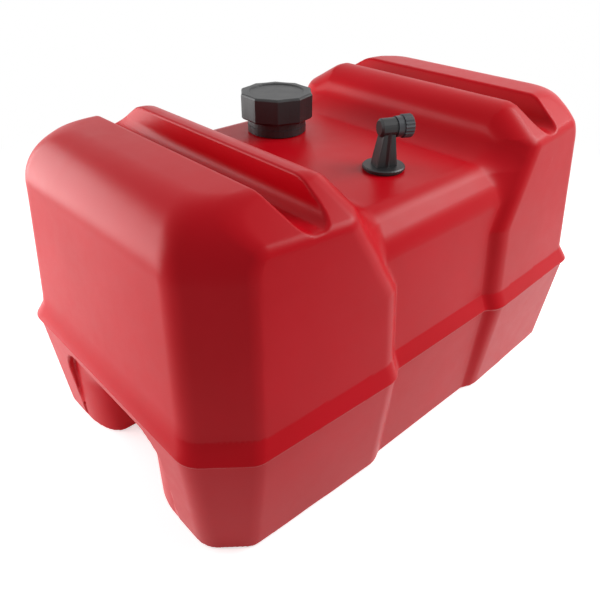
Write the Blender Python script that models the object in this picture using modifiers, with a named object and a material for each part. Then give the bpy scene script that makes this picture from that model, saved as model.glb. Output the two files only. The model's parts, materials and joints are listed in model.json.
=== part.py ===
"""Portable outboard fuel tank: a blow-moulded tank with a ratchet filler cap and a pickup fitting.

Metres, +Z up. The origin is on the floor under the middle of the tank. X runs along the length,
Y across the width, and every piece is placed from the named sizes below.
"""

import math

import bmesh
import bpy
from mathutils import Matrix, Vector

# Fits shared by all pieces
GAP = 0.0003            # running gap between pieces that touch
OVERRUN = 0.004         # how far a cutter reaches past the face it cuts
WELD = 0.000003         # points closer than this are one point

# Tank: overall sizes
LENGTH = 0.584
WIDTH = 0.375
TOP = 0.319             # top of the two end blocks
PARTING = 0.1205        # height of the mould's parting line
WALL = 0.0045

# Tank: the walls, seen from above
CORNER_RUN = 0.0455     # corner cut along X
CORNER_DEPTH = 0.038    # corner cut along Y
CORNER_SOFT = 0.009     # how far from an edge its rounding starts
SIDE_TAPER = 0.0068     # a side wall closes in this much from the waist to the corner
END_SLOPE_share = 0.070         # how far a wall leans in, as a share of its height
SIDE_SLOPE_share = 0.085
LOW_END_SLOPE_share = 0.085
LOW_SIDE_SLOPE_share = 0.125
FLOOR_SOFT = 0.005

# Tank: parting flange
LIP = 0.0025            # step back under the flange
LIP_THICK = 0.001
FLARE_RISE = 0.0175
FLARE_REACH = 0.0078

# Tank: waist between the end blocks
WAIST_HALF = 0.0856     # half length of the waist, at the side wall
WAIST_STEP = 0.0102     # how far the waist lies back
WAIST_STEP_RUN = 0.0156
WAIST_SOFT = 0.006
WAIST_LOW_SLOPE_share = 0.070
WAIST_BEND = 0.209      # above this height the waist widens
WAIST_SHOULDER = 0.286
WAIST_SHOULDER_HALF = 0.1294
STEP_REACH_share = 1.3  # a block's step runs on inside the waist
RIDGE_INNER = 0.1216    # deck side of the ridge, at its top
RIDGE_SOFT = 0.009
DECK = 0.2724
DECK_HALF = 0.1362      # half width of the flat deck
DECK_DROP = 0.0253      # height of the sloping band between deck and side
DECK_SOFT = 0.010

# Tank: top of an end block
SLOPE_TOP_HALF = 0.1206  # half width of the flat top
SLOPE_DROP = 0.0292     # height of the sloping band along the side
RIDGE_OUTER = 0.1508
RIDGE_EDGE = 0.003
GROOVE_FLOOR = 0.2919
GROOVE_FLOOR_INNER = 0.1537
GROOVE_FLOOR_OUTER = 0.1795
GROOVE_OUTER = 0.1926
GROOVE_SOFT = 0.005
ROLL_RADIUS = 0.0486    # the end wall rolls over into the top
ROLL_STEPS = 6
CORNER_CLOSE_share = 0.75       # how much of the corner cut is gone at the top

# Tank: hand holds under the ends
HOLD_HALF = 0.0924      # half width at the end wall
HOLD_TOP = 0.1060
HOLD_MOUTH = 0.0555     # radius that the mouth closes in by
HOLD_TOP_FALL = 0.0290
HOLD_DEPTH = 0.0856
HOLD_ARCH = 0.0370
HOLD_ARCH_share = 0.8   # the arch's corners take at most this much of its half width
HOLD_RINGS = 5
HOLD_ARC_STEPS = 4

# Tank: filler neck, gauge blank and pickup port on the deck
CAP_Y = 0.0817
NECK_RADIUS = 0.0277
NECK_BORE = 0.0224
NECK_HEIGHT = 0.0320
BLANK_RADIUS = 0.0263
BLANK_RIM = 0.0045
BLANK_RISE = 0.0014
PICKUP_Y = -0.0778
PORT_BORE = 0.0100

# Threads on the neck and in the cap
THREAD_PITCH = 0.0060
THREAD_DEPTH = 0.0012
THREAD_ROOT = 0.0010    # how far a thread is let into its wall
THREAD_THICK = 0.0024
THREAD_LOW = 0.0150     # above the deck
THREAD_TURNS = 2
THREAD_STEPS = 24       # steps in a turn
THREAD_CREST_share = 0.5

# Filler cap
CAP_HEIGHT = 0.0438     # top of the grip above the deck
CAP_FLOOR_GAP = 0.0010  # under the skirt
GASKET_THICK = 0.0018
BODY_PLATE = 0.0030
CAP_THREAD_DEPTH = 0.0009
SKIRT_BORE = NECK_RADIUS + THREAD_DEPTH + GAP + CAP_THREAD_DEPTH
SKIRT_RADIUS = 0.0322
SKIRT_BAND_RADIUS = 0.0328
SKIRT_BAND_TOP = 0.0085
KEEP_RADIUS = 0.0340    # keeper flange that holds the grip on
KEEP_HEIGHT = 0.0200
KEEP_THICK = 0.0022
GRIP_RADIUS = 0.0409
GRIP_LOBES = 10
GRIP_SCALLOP = 0.0024
GRIP_LOBE_STEPS = 6
GRIP_HEIGHT = 0.0277
GRIP_PLATE = 0.0030
GRIP_SOFT = 0.0022
GRIP_TURN = math.radians(-21.0)
DISH_RADIUS = 0.0310
DISH_DEPTH = 0.0012
RATCHET_RADIUS = 0.0260
RATCHET_TEETH = 12
RATCHET_DEPTH = 0.0014
RATCHET_WALL = 0.0030
PAWL_RADIUS = 0.0330
PAWL_WALL = 0.0018
PAWL_COUNT = 3
PAWL_STEPS = 12         # outline steps from one pawl to the next

# Tank vent in the cap body
VENT_HOLE = 0.0025
VENT_CAGE_BORE = 0.0080
VENT_CAGE_WALL = 0.0018
VENT_CAGE_DEPTH = 0.0130
VENT_DISC_RADIUS = 0.0070
VENT_DISC_THICK = 0.0020
VENT_SPRING_RADIUS = 0.0050
VENT_SPRING_WIRE = 0.0006
VENT_SPRING_TURNS = 4
RETAINER_THICK = 0.0016
RETAINER_HOLE = 0.0030

# Pickup fitting
SPIGOT_RADIUS = PORT_BORE - GAP
SPIGOT_DEPTH = 0.0140
BASE_RADIUS = 0.0209
BASE_THICK = 0.0030
BASE_SOFT = 0.0010
BASE_GASKET_RADIUS = 0.0195
BASE_GASKET_THICK = 0.0012
POST_FOOT = 0.0112      # half width of the post at its foot, along the barrel
POST_HEAD = 0.0056
POST_FOOT_ACROSS = 0.0085
POST_HEAD_ACROSS = 0.0066
POST_SHIFT = 0.0012     # the post leans this far towards the outlet
POST_RIB = 0.0016
POST_RIB_HALF = 0.0022
POST_SOFT = 0.0020
HEAD_HEIGHT = 0.0409    # barrel axis above the deck
HEAD_RADIUS = 0.0088
HEAD_BACK = 0.0080
HEAD_FRONT = 0.0083
HEAD_SOFT = 0.0020
OUTLET_TURN = math.radians(-25.0)
OUTLET_RADIUS = 0.0070
OUTLET_LENGTH = 0.0122
OUTLET_BORE = 0.0030
OUTLET_CAP_RADIUS = 0.0112
OUTLET_CAP_LENGTH = 0.0166
OUTLET_CAP_CLEAR = 0.0004
OUTLET_CAP_END = 0.0025
OUTLET_CAP_SOFT = 0.0012
OUTLET_SEAL_THICK = 0.0012
KNURL_RIBS = 20
KNURL_DEPTH = 0.0007
KNURL_LENGTH = 0.0100

# Dip tube, anti-siphon valve and strainer
TUBE_RADIUS = 0.0050
TUBE_BORE = 0.0034
TUBE_SOCKET = 0.0110    # how far the tube enters the spigot
STRAINER_RADIUS = 0.0085
STRAINER_HEIGHT = 0.0260
STRAINER_GRIP = 0.0080  # how far it holds the tube
STRAINER_WALL = 0.0014
STRAINER_FLOOR_GAP = 0.0030
STRAINER_SLOTS = 6
STRAINER_SLOT = 0.0026
BALL_RADIUS = 0.0042
SEAT_THICK = 0.0020
VALVE_BORE = 0.0050
VALVE_HEIGHT = 0.0210
PASSAGE_RADIUS = 0.0022
BALL_SPRING_RADIUS = 0.0036
BALL_SPRING_WIRE = 0.0005
BALL_SPRING_TURNS = 5

# Roundness of turned pieces and rounded corners
FINE = 40
ROUND = 24
SOFT_STEPS = 2
COIL_STEPS = 14
SHARP_ANGLE = math.radians(32.0)
QUARTER = math.pi / 2

RED = (0.62, 0.002, 0.010, 1.0)
BLACK = (0.018, 0.018, 0.020, 1.0)
GREY = (0.045, 0.048, 0.055, 1.0)
RUBBER = (0.010, 0.010, 0.010, 1.0)
NATURAL = (0.62, 0.60, 0.55, 1.0)
STEEL = (0.55, 0.56, 0.58, 1.0)

# Heights and places that several pieces share
PARTING_LOW = PARTING - LIP
FLARE_TOP = PARTING + FLARE_RISE
HALF_LENGTH = LENGTH / 2
HALF_WIDTH = WIDTH / 2
ROLL_START = TOP - ROLL_RADIUS
SHOULDER = TOP - SLOPE_DROP
CAP_SEAT = (0.0, CAP_Y, DECK)
PICKUP_SEAT = (0.0, PICKUP_Y, DECK)
GASKET_LOW = NECK_HEIGHT + GAP
PLATE_LOW = GASKET_LOW + GASKET_THICK + GAP
PLATE_TOP = PLATE_LOW + BODY_PLATE
GRIP_LOW = CAP_HEIGHT - GRIP_HEIGHT
GRIP_CEILING = CAP_HEIGHT - GRIP_PLATE
BASE_LOW = BASE_GASKET_THICK + GAP * 2
BASE_TOP = BASE_LOW + BASE_THICK
SPIGOT_LOW = -SPIGOT_DEPTH
TUBE_TOP = SPIGOT_LOW + TUBE_SOCKET
SEAT_TOP = TUBE_TOP + SEAT_THICK
VALVE_TOP = SEAT_TOP + VALVE_HEIGHT
BARREL = (0.0, PICKUP_Y, DECK + HEAD_HEIGHT)
OUTLET_WAY = (math.cos(OUTLET_TURN), math.sin(OUTLET_TURN), 0.0)
STRAINER_LOW = WALL + STRAINER_FLOOR_GAP
STRAINER_TOP = STRAINER_LOW + STRAINER_HEIGHT

for item in list(bpy.data.objects):
    bpy.data.objects.remove(item, do_unlink=True)


def new_collection(name):
    group = bpy.data.collections.new(name)
    bpy.context.scene.collection.children.link(group)
    return group


PARTS = new_collection("outboard_fuel_tank")
CUTTERS = new_collection("cutters")


def paint(part, colour, roughness=0.45, metallic=0.0):
    """Gives a part a material of its own."""
    material = bpy.data.materials.new(part.name)
    material.use_nodes = True
    shader = material.node_tree.nodes["Principled BSDF"]
    shader.inputs["Base Color"].default_value = colour
    shader.inputs["Roughness"].default_value = roughness
    shader.inputs["Metallic"].default_value = metallic
    material.diffuse_color = colour
    part.data.materials.clear()
    part.data.materials.append(material)
    return part


def new_object(name, data, seat=(0.0, 0.0, 0.0), way=None):
    """An object at a seat, with its own Z turned to point along way."""
    part = bpy.data.objects.new(name, data)
    part.location = seat
    if way is not None:
        part.rotation_euler = Vector(way).to_track_quat("Z", "Y").to_euler()
    PARTS.objects.link(part)
    return part


def tidy_mesh(mesh):
    """Welds a mesh's points and faces it outwards."""
    work = bmesh.new()
    work.from_mesh(mesh)
    bmesh.ops.remove_doubles(work, verts=work.verts, dist=WELD)
    bmesh.ops.recalc_face_normals(work, faces=work.faces)
    work.to_mesh(mesh)
    work.free()
    return mesh


def as_cutter(tool):
    """Moves an object to the cutters, where it only shapes other objects."""
    PARTS.objects.unlink(tool)
    CUTTERS.objects.link(tool)
    tool.hide_render = True
    tool.display_type = "WIRE"
    return tool


def combine(part, tool, operation):
    modifier = part.modifiers.new(f"{operation.lower()} {tool.name}", "BOOLEAN")
    modifier.operation = operation
    modifier.solver = "EXACT"
    modifier.object = tool
    return part


def cut(part, tool):
    return combine(part, as_cutter(tool), "DIFFERENCE")


def join(part, tool):
    return combine(part, as_cutter(tool), "UNION")


def shade(part):
    part.data.shade_smooth()
    part.data.set_sharp_from_angle(angle=SHARP_ANGLE)
    return part


def settle(part):
    """Turns a part's modifiers into its mesh."""
    bpy.context.view_layer.update()
    graph = bpy.context.evaluated_depsgraph_get()
    mesh = bpy.data.meshes.new_from_object(part.evaluated_get(graph))
    part.modifiers.clear()
    part.data = tidy_mesh(mesh)
    return part


def inset(outline, distance):
    """A closed outline, listed anticlockwise, moved in by a distance with mitred corners."""
    moved = []
    for i, point in enumerate(outline):
        here = Vector(point)
        first = (here - Vector(outline[i - 1])).normalized()
        second = (Vector(outline[(i + 1) % len(outline)]) - here).normalized()
        normal_a = Vector((-first.y, first.x))
        normal_b = Vector((-second.y, second.x))
        step = distance / (1.0 + normal_a.dot(normal_b))
        moved.append(tuple(here + (normal_a + normal_b) * step))
    return moved


def soften(outline, reaches):
    """Rounds each corner of a closed outline, with a curve that starts a reach away from it."""
    rounded = []
    for i, reach in enumerate(reaches):
        here = Vector(outline[i])
        ends = []
        for other in (outline[i - 1], outline[(i + 1) % len(outline)]):
            side = Vector(other) - here
            ends.append(here + side.normalized() * min(reach, side.length / 2))
        for step in range(SOFT_STEPS + 1):
            along = step / SOFT_STEPS
            rounded.append(tuple(ends[0].lerp(here, along).lerp(here.lerp(ends[1], along), along)))
    return rounded


def circle(radius, count, turn=0.0):
    """Points round a circle, anticlockwise."""
    angles = [turn + math.tau * i / count for i in range(count)]
    return [(radius * math.cos(angle), radius * math.sin(angle)) for angle in angles]


def loft(name, rings, **place):
    """A closed body through rings of equally many points."""
    count = len(rings[0])
    points = [point for ring in rings for point in ring]
    faces = [
        (r * count + i, r * count + (i + 1) % count, (r + 1) * count + (i + 1) % count, (r + 1) * count + i)
        for r in range(len(rings) - 1)
        for i in range(count)
    ]
    faces.append(tuple(range(count)))
    faces.append(tuple(range((len(rings) - 1) * count, len(rings) * count)))
    mesh = bpy.data.meshes.new(name)
    mesh.from_pydata(points, [], faces)
    return new_object(name, tidy_mesh(mesh), **place)


def plate(name, outlines, low, high, axes="XY", **place):
    """A flat outline, with any holes listed after it, given a thickness from low to high.

    The outline lies in the plane of the two axes named, and its thickness along the third.
    """
    curve = bpy.data.curves.new(name, "CURVE")
    curve.dimensions = "2D"
    curve.fill_mode = "BOTH"
    curve.extrude = (high - low) / 2
    for outline in outlines:
        spline = curve.splines.new("POLY")
        spline.points.add(len(outline) - 1)
        for point, (a, b) in zip(spline.points, outline):
            point.co = (a, b, 0.0, 1.0)
        spline.use_cyclic_u = True
    drawn = bpy.data.objects.new(name, curve)
    CUTTERS.objects.link(drawn)
    bpy.context.view_layer.update()
    graph = bpy.context.evaluated_depsgraph_get()
    mesh = bpy.data.meshes.new_from_object(drawn.evaluated_get(graph))
    bpy.data.objects.remove(drawn, do_unlink=True)
    bpy.data.curves.remove(curve)
    columns = {
        "XY": ((1, 0, 0), (0, 1, 0), (0, 0, 1)),
        "XZ": ((1, 0, 0), (0, 0, 1), (0, 1, 0)),
        "YZ": ((0, 1, 0), (0, 0, 1), (1, 0, 0)),
    }[axes]
    turn = Matrix(columns).transposed().to_4x4()
    mesh.transform(turn @ Matrix.Translation((0.0, 0.0, (low + high) / 2)))
    return new_object(name, tidy_mesh(mesh), **place)


def turned(name, profile, steps=ROUND, **place):
    """A (radius, height) profile, listed down its outer side, turned about its own Z axis."""
    mesh = bpy.data.meshes.new(name)
    closed = min(radius for radius, height in profile) > 0.0
    count = len(profile)
    edges = [(i, (i + 1) % count) for i in range(count if closed else count - 1)]
    mesh.from_pydata([(radius, 0.0, height) for radius, height in profile], edges, [])
    part = new_object(name, mesh, **place)
    screw = part.modifiers.new("turn", "SCREW")
    screw.steps = steps
    screw.render_steps = steps
    screw.use_merge_vertices = True
    screw.merge_threshold = WELD
    return part


def rod(name, radius, low, high, steps=ROUND, **place):
    """A plain cylinder along its own Z axis."""
    mesh = bpy.data.meshes.new(name)
    work = bmesh.new()
    middle = Matrix.Translation((0.0, 0.0, (low + high) / 2))
    bmesh.ops.create_cone(
        work, cap_ends=True, segments=steps, radius1=radius, radius2=radius, depth=high - low, matrix=middle
    )
    work.to_mesh(mesh)
    work.free()
    return new_object(name, mesh, **place)


def coil(name, radius, wire, low, high, turns, **place):
    """A compression spring along its own Z axis."""
    curve = bpy.data.curves.new(name, "CURVE")
    curve.dimensions = "3D"
    curve.bevel_depth = wire
    curve.bevel_resolution = 1
    curve.use_fill_caps = True
    spline = curve.splines.new("POLY")
    count = turns * COIL_STEPS
    spline.points.add(count)
    for i, point in enumerate(spline.points):
        angle = math.tau * i / COIL_STEPS
        height = low + wire + (high - low - wire * 2) * i / count
        point.co = (radius * math.cos(angle), radius * math.sin(angle), height, 1.0)
    return new_object(name, curve, **place)


def thread(name, root, crest, low, **place):
    """A screw thread that stands from one radius to another, as one wound ridge."""
    rings = []
    crest_half = THREAD_THICK * THREAD_CREST_share / 2
    for i in range(THREAD_TURNS * THREAD_STEPS + 1):
        angle = math.tau * i / THREAD_STEPS
        height = low + THREAD_PITCH * i / THREAD_STEPS
        across = Vector((math.cos(angle), math.sin(angle), 0.0))
        up = Vector((0.0, 0.0, 1.0))
        rings.append([
            tuple(across * root + up * (height - THREAD_THICK / 2)),
            tuple(across * crest + up * (height - crest_half)),
            tuple(across * crest + up * (height + crest_half)),
            tuple(across * root + up * (height + THREAD_THICK / 2)),
        ])
    return loft(name, rings, **place)


def wall_inset(height, low_share, high_share):
    """How far a wall lies inside the parting flange at a height."""
    if height <= PARTING_LOW:
        return LIP + (PARTING_LOW - height) * low_share
    if height <= PARTING:
        return LIP * (PARTING - height) / (PARTING - PARTING_LOW)
    over = height - PARTING - LIP_THICK
    if height <= FLARE_TOP:
        return FLARE_REACH * max(over, 0.0) / (FLARE_TOP - PARTING - LIP_THICK)
    return FLARE_REACH + (height - FLARE_TOP) * high_share


def block_end(height):
    """Half length at a height: a leaning wall that rolls over into the top."""
    wall = HALF_LENGTH - wall_inset(min(height, ROLL_START), LOW_END_SLOPE_share, END_SLOPE_share)
    over = max(height - ROLL_START, 0.0)
    return wall - ROLL_RADIUS + math.sqrt(max(ROLL_RADIUS ** 2 - over ** 2, 0.0))


def block_side(height):
    """Half width at a height: a leaning wall, then the sloping band along the top."""
    wall = HALF_WIDTH - wall_inset(height, LOW_SIDE_SLOPE_share, SIDE_SLOPE_share)
    shoulder = HALF_WIDTH - wall_inset(SHOULDER, LOW_SIDE_SLOPE_share, SIDE_SLOPE_share)
    band = SLOPE_TOP_HALF + (shoulder - SLOPE_TOP_HALF) * (TOP - height) / SLOPE_DROP
    return min(wall, band)


def waist_half(height):
    """Half length of the waist at the side wall, which widens towards the top."""
    if height <= WAIST_BEND:
        return WAIST_HALF
    rise = (height - WAIST_BEND) / (WAIST_SHOULDER - WAIST_BEND)
    if rise <= 1.0:
        return WAIST_HALF + (WAIST_SHOULDER_HALF - WAIST_HALF) * rise
    over = (height - WAIST_SHOULDER) / (TOP - WAIST_SHOULDER)
    ridge = RIDGE_INNER + WAIST_STEP_RUN * STEP_REACH_share
    return WAIST_SHOULDER_HALF + (ridge - WAIST_SHOULDER_HALF) * over


def block_ring(height, out):
    """An end block seen from above at a height, with its surface moved in by out."""
    floor = FLOOR_SOFT if height == 0.0 else 0.0
    closing = 1.0 - CORNER_CLOSE_share * max(height - ROLL_START, 0.0) / ROLL_RADIUS
    end = block_end(height)
    side = block_side(height)
    inner = waist_half(height)
    step = (WAIST_STEP_RUN * STEP_REACH_share, WAIST_STEP * STEP_REACH_share)
    half = [
        (end, side - SIDE_TAPER - CORNER_DEPTH * closing),
        (end - CORNER_RUN * closing, side - SIDE_TAPER),
        (inner, side),
        (inner - step[0], side - step[1]),
    ]
    outline = half + [(x, -y) for x, y in reversed(half)]
    softs = [CORNER_SOFT, CORNER_SOFT, WAIST_SOFT, WAIST_SOFT]
    level = height if height < ROLL_START else height - out * (height - ROLL_START) / ROLL_RADIUS
    plan = soften(inset(outline, out + floor), softs + softs[::-1])
    return [(x, y, max(level, out)) for x, y in plan]


def groove_outline(out):
    """The groove across a block, open above, crisp on its outer edge."""
    lean = (GROOVE_OUTER - GROOVE_FLOOR_OUTER) / (TOP - GROOVE_FLOOR)
    outline = [
        (RIDGE_OUTER - RIDGE_EDGE - OVERRUN, TOP + OVERRUN),
        (RIDGE_OUTER, TOP - RIDGE_EDGE),
        (GROOVE_FLOOR_INNER, GROOVE_FLOOR),
        (GROOVE_FLOOR_OUTER, GROOVE_FLOOR),
        (GROOVE_OUTER + OVERRUN * lean, TOP + OVERRUN),
    ]
    return soften(inset(outline, -out), [0.0, GROOVE_SOFT / 2, GROOVE_SOFT, GROOVE_SOFT, 0.0])


def ridge_edge_outline(out):
    """What is taken off the ridge to round its deck side."""
    top = TOP - out
    wall = RIDGE_INNER + out
    outline = [
        (0.0, top + OVERRUN),
        (0.0, top - RIDGE_SOFT),
        (wall - RIDGE_SOFT * SIDE_SLOPE_share, top - RIDGE_SOFT),
        (wall, top),
        (wall + RIDGE_SOFT, top + GAP),
        (wall + RIDGE_SOFT, top + OVERRUN),
    ]
    middle = soften(outline, [0.0, 0.0, 0.0, RIDGE_SOFT * 2, 0.0, 0.0])
    return middle


def waist_outline(out):
    """The waist's section: deck, sloping bands, drafted sides and flare."""
    side = HALF_WIDTH - WAIST_STEP
    band = DECK - DECK_DROP
    high_side = side - FLARE_REACH
    lip = [] if out else [(side, PARTING), (side, PARTING + LIP_THICK)]
    half = [
        (side - LIP - PARTING_LOW * WAIST_LOW_SLOPE_share, 0.0),
        (side - LIP, PARTING_LOW),
        *lip,
        (high_side, FLARE_TOP),
        (high_side - (band - FLARE_TOP) * SIDE_SLOPE_share, band),
        (DECK_HALF, DECK),
    ]
    outline = half + [(-y, z) for y, z in reversed(half)]
    softs = [FLOOR_SOFT] + [0.0] * (len(half) - 3) + [DECK_SOFT, DECK_SOFT]
    return soften(inset(outline, out), softs + softs[::-1])


def tank_form(name, out):
    """The tank's form as one solid, with its surface moved in by out."""
    roll = [ROLL_START + ROLL_RADIUS * math.sin(QUARTER * i / ROLL_STEPS) for i in range(ROLL_STEPS + 1)]
    levels = [0.0, FLOOR_SOFT, PARTING_LOW, PARTING, PARTING + LIP_THICK, FLARE_TOP, WAIST_BEND, *roll]
    form = loft(name, [block_ring(level, out) for level in levels])
    far = HALF_WIDTH + OVERRUN
    cut(form, plate(f"{name}_groove", [groove_outline(out)], -far, far, "XZ"))
    cut(form, plate(f"{name}_ridge_edge", [ridge_edge_outline(out)], -far, far, "XZ"))
    mirror = form.modifiers.new("far block", "MIRROR")
    mirror.use_mirror_merge = False
    join(form, plate(f"{name}_waist", [waist_outline(out)], -RIDGE_INNER, RIDGE_INNER, "YZ"))
    return form


def hand_hold(name, side, out):
    """A mouth that closes in from the end wall, cut up from the floor at one end."""
    start = HALF_LENGTH - LIP - PARTING_LOW * LOW_END_SLOPE_share
    turns = [QUARTER * i / (HOLD_RINGS - 1) for i in range(HOLD_RINGS)]
    stations = [(-HOLD_MOUTH / 2, 0.0)]
    stations += [(HOLD_MOUTH * (1 - math.cos(turn)), HOLD_MOUTH * math.sin(turn)) for turn in turns]
    stations.append((HOLD_DEPTH + out, HOLD_MOUTH))
    rings = []
    for depth, closed in stations:
        half = HOLD_HALF - closed + out
        top = HOLD_TOP - HOLD_TOP_FALL * closed / HOLD_MOUTH + out
        radius = min(HOLD_ARCH, half * HOLD_ARCH_share)
        arch = [(-half, -OVERRUN), (half, -OVERRUN)]
        for turn in range(HOLD_ARC_STEPS * 2 + 2):
            corner = turn // (HOLD_ARC_STEPS + 1)
            angle = QUARTER * (turn - corner) / HOLD_ARC_STEPS
            middle = (radius - half) if corner else (half - radius)
            arch.append((middle + radius * math.cos(angle), top - radius + radius * math.sin(angle)))
        rings.append([(side * (start - depth), y, z) for y, z in arch])
    return loft(name, rings)


def make_tank():
    neck_low = -WALL / 2
    tank = tank_form("tank_body", 0.0)
    for side, end in ((-1, "near"), (1, "far")):
        cut(tank, hand_hold(f"hand_hold_{end}", side, 0.0))
    neck = [(0.0, NECK_HEIGHT), (NECK_RADIUS, NECK_HEIGHT), (NECK_RADIUS, neck_low), (0.0, neck_low)]
    join(tank, turned("filler_neck", neck, FINE, seat=CAP_SEAT))
    crest = NECK_RADIUS + THREAD_DEPTH
    join(tank, thread("neck_thread", NECK_RADIUS - THREAD_ROOT, crest, THREAD_LOW, seat=CAP_SEAT))
    settle(tank)
    inner = BLANK_RADIUS - BLANK_RIM
    rim = [(BLANK_RADIUS, BLANK_RISE), (BLANK_RADIUS, neck_low), (inner, neck_low), (inner, BLANK_RISE)]
    join(tank, turned("gauge_blank", rim, FINE, seat=(0.0, 0.0, DECK)))
    cavity = tank_form("cavity", WALL)
    for side, end in ((-1, "near"), (1, "far")):
        cut(cavity, hand_hold(f"hand_hold_wall_{end}", side, WALL))
    join(cavity, rod("neck_bore", NECK_BORE, -WALL * 3, NECK_HEIGHT + OVERRUN, FINE, seat=CAP_SEAT))
    join(cavity, rod("pickup_port", PORT_BORE, -WALL * 3, OVERRUN, seat=PICKUP_SEAT))
    cut(tank, cavity)
    return paint(shade(tank), RED, 0.42)


def grip_outline(shrink):
    """Ten shallow scallops that meet in edges."""
    count = GRIP_LOBES * GRIP_LOBE_STEPS
    outline = []
    for i in range(count):
        across = (i % GRIP_LOBE_STEPS) / GRIP_LOBE_STEPS
        radius = GRIP_RADIUS - shrink - GRIP_SCALLOP * math.sin(math.pi * across)
        angle = GRIP_TURN + math.tau * i / count
        outline.append((radius * math.cos(angle), radius * math.sin(angle)))
    return outline


def make_grip():
    low, high = GRIP_LOW, CAP_HEIGHT
    levels = [
        (low, GRIP_SOFT),
        (low + GRIP_SOFT, 0.0),
        (high - GRIP_SOFT, 0.0),
        (high - GRIP_SOFT / 3, GRIP_SOFT / 3),
        (high, GRIP_SOFT),
    ]
    rings = [[(x, y, level) for x, y in grip_outline(shrink)] for level, shrink in levels]
    grip = loft("filler_cap_grip", rings, seat=CAP_SEAT)
    lip_top = KEEP_HEIGHT - GAP
    bore = KEEP_RADIUS + GAP
    inside = [
        (0.0, GRIP_CEILING),
        (bore, GRIP_CEILING),
        (bore, lip_top),
        (SKIRT_RADIUS + GAP, lip_top),
        (SKIRT_RADIUS + GAP, low - OVERRUN),
        (0.0, low - OVERRUN),
    ]
    cut(grip, turned("grip_bore", inside, FINE, seat=CAP_SEAT))
    dish = [
        (0.0, high + OVERRUN),
        (DISH_RADIUS, high + OVERRUN),
        (DISH_RADIUS, high),
        (DISH_RADIUS - DISH_DEPTH, high - DISH_DEPTH),
        (0.0, high - DISH_DEPTH),
    ]
    cut(grip, turned("grip_dish", dish, FINE, seat=CAP_SEAT))
    return paint(shade(grip), BLACK)


def ratchet_outline():
    """Saw teeth that lean one way."""
    outline = []
    for i in range(RATCHET_TEETH):
        for part, radius in ((0, RATCHET_RADIUS + RATCHET_DEPTH), (1, RATCHET_RADIUS), (2, RATCHET_RADIUS)):
            angle = math.tau * (i + part * part / 5) / RATCHET_TEETH
            outline.append((radius * math.cos(angle), radius * math.sin(angle)))
    return outline


def make_cap_body():
    cage = VENT_CAGE_BORE + VENT_CAGE_WALL
    cage_low = PLATE_LOW - VENT_CAGE_DEPTH
    keep_top = KEEP_HEIGHT + KEEP_THICK
    profile = [
        (VENT_HOLE, PLATE_TOP),
        (SKIRT_RADIUS, PLATE_TOP),
        (SKIRT_RADIUS, keep_top + KEEP_THICK),
        (KEEP_RADIUS, keep_top),
        (KEEP_RADIUS, KEEP_HEIGHT),
        (SKIRT_RADIUS, KEEP_HEIGHT),
        (SKIRT_RADIUS, SKIRT_BAND_TOP),
        (SKIRT_BAND_RADIUS, SKIRT_BAND_TOP),
        (SKIRT_BAND_RADIUS, CAP_FLOOR_GAP),
        (SKIRT_BORE, CAP_FLOOR_GAP),
        (SKIRT_BORE, PLATE_LOW),
        (cage, PLATE_LOW),
        (cage, cage_low),
        (VENT_CAGE_BORE, cage_low),
        (VENT_CAGE_BORE, PLATE_LOW),
        (VENT_HOLE, PLATE_LOW),
    ]
    body = turned("filler_cap_body", profile, FINE, seat=CAP_SEAT)
    crest = SKIRT_BORE - CAP_THREAD_DEPTH
    low = THREAD_LOW - THREAD_PITCH / 2
    join(body, thread("cap_thread", SKIRT_BORE + THREAD_ROOT, crest, low, seat=CAP_SEAT))
    hole = circle(RATCHET_RADIUS - RATCHET_WALL, FINE)
    top = GRIP_CEILING - GAP
    teeth = plate("ratchet_teeth", [ratchet_outline(), hole], PLATE_TOP - BODY_PLATE / 2, top, seat=CAP_SEAT)
    join(body, teeth)
    return paint(shade(body), BLACK)


def make_pawl_ring():
    """A ring fixed under the grip, with pawls that ride on the ratchet teeth."""
    nose = RATCHET_RADIUS + RATCHET_DEPTH + GAP
    inner = []
    for i in range(PAWL_COUNT * PAWL_STEPS):
        radius = nose if i % PAWL_STEPS == 0 else PAWL_RADIUS - PAWL_WALL
        angle = math.tau * i / (PAWL_COUNT * PAWL_STEPS)
        inner.append((radius * math.cos(angle), radius * math.sin(angle)))
    outer = circle(PAWL_RADIUS, FINE)
    ring = plate("filler_cap_pawl_ring", [outer, inner], PLATE_TOP + GAP, GRIP_CEILING - GAP, seat=CAP_SEAT)
    return paint(shade(ring), GREY)


def make_cap_gasket():
    inner = NECK_BORE
    outer = NECK_RADIUS
    top = GASKET_LOW + GASKET_THICK
    profile = [(outer, top), (outer, GASKET_LOW), (inner, GASKET_LOW), (inner, top)]
    return paint(shade(turned("filler_cap_gasket", profile, FINE, seat=CAP_SEAT)), RUBBER, 0.7)


def make_vent():
    disc_top = PLATE_LOW - GAP
    disc_low = disc_top - VENT_DISC_THICK
    disc = rod("vent_disc", VENT_DISC_RADIUS, disc_low, disc_top, seat=CAP_SEAT)
    paint(shade(disc), RUBBER, 0.7)
    low = PLATE_LOW - VENT_CAGE_DEPTH
    top = low + RETAINER_THICK
    radius = VENT_CAGE_BORE - GAP
    profile = [(radius, top), (radius, low), (RETAINER_HOLE, low), (RETAINER_HOLE, top)]
    paint(shade(turned("vent_retainer", profile, seat=CAP_SEAT)), GREY)
    spring = coil(
        "vent_spring",
        VENT_SPRING_RADIUS,
        VENT_SPRING_WIRE,
        top + GAP,
        disc_low - GAP,
        VENT_SPRING_TURNS,
        seat=CAP_SEAT,
    )
    paint(spring, STEEL, 0.3, 1.0)


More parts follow.
